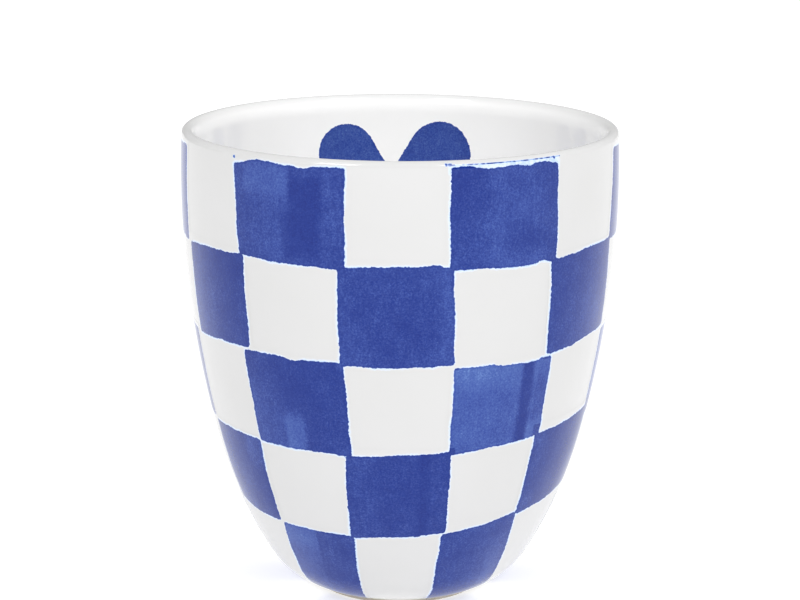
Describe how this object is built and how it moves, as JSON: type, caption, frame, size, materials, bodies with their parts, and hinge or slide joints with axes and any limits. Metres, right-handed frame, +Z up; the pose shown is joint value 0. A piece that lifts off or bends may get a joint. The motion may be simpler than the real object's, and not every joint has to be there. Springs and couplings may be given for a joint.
{
  "type": "handleless mug",
  "caption": "Handleless round-bottomed stoneware mug, white glaze with a hand-painted blue checkerboard outside and a blue heart on the inner wall.",
  "frame": {"origin": "centre of the foot, on the table plane", "axes": "+Z up along the mug's axis; the front column of squares faces -Y and the heart is on the inner +Y wall"},
  "size_m": [0.089, 0.089, 0.0965],
  "materials": {
    "bare_stoneware": "matt fired clay",
    "white_glaze": "glossy",
    "blue_underglaze": "glossy"
  },
  "bodies": {
    "root": {"stoneware_body": "bare_stoneware", "white_glaze_coat": "white_glaze", "base_glaze_disc": "white_glaze", "blue_heart": "blue_underglaze", "blue_square_row1_front_right": "blue_underglaze", "blue_square_row1_right": "blue_underglaze", "blue_square_row1_back_right": "blue_underglaze", "blue_square_row1_back_left": "blue_underglaze", "blue_square_row1_left": "blue_underglaze", "blue_square_row1_front_left": "blue_underglaze", "blue_square_row2_front": "blue_underglaze", "blue_square_row2_front_right": "blue_underglaze", "blue_square_row2_back_right": "blue_underglaze", "blue_square_row2_back": "blue_underglaze", "blue_square_row2_back_left": "blue_underglaze", "blue_square_row2_front_left": "blue_underglaze", "blue_square_row3_front_right": "blue_underglaze", "blue_square_row3_right": "blue_underglaze", "blue_square_row3_back_right": "blue_underglaze", "blue_square_row3_back_left": "blue_underglaze", "blue_square_row3_left": "blue_underglaze", "blue_square_row3_front_left": "blue_underglaze", "blue_square_row4_front": "blue_underglaze", "blue_square_row4_front_right": "blue_underglaze", "blue_square_row4_back_right": "blue_underglaze", "blue_square_row4_back": "blue_underglaze", "blue_square_row4_back_left": "blue_underglaze", "blue_square_row4_front_left": "blue_underglaze", "blue_square_row5_front_right": "blue_underglaze", "blue_square_row5_right": "blue_underglaze", "blue_square_row5_back_right": "blue_underglaze", "blue_square_row5_back_left": "blue_underglaze", "blue_square_row5_left": "blue_underglaze", "blue_square_row5_front_left": "blue_underglaze"}
  },
  "joints": []
}
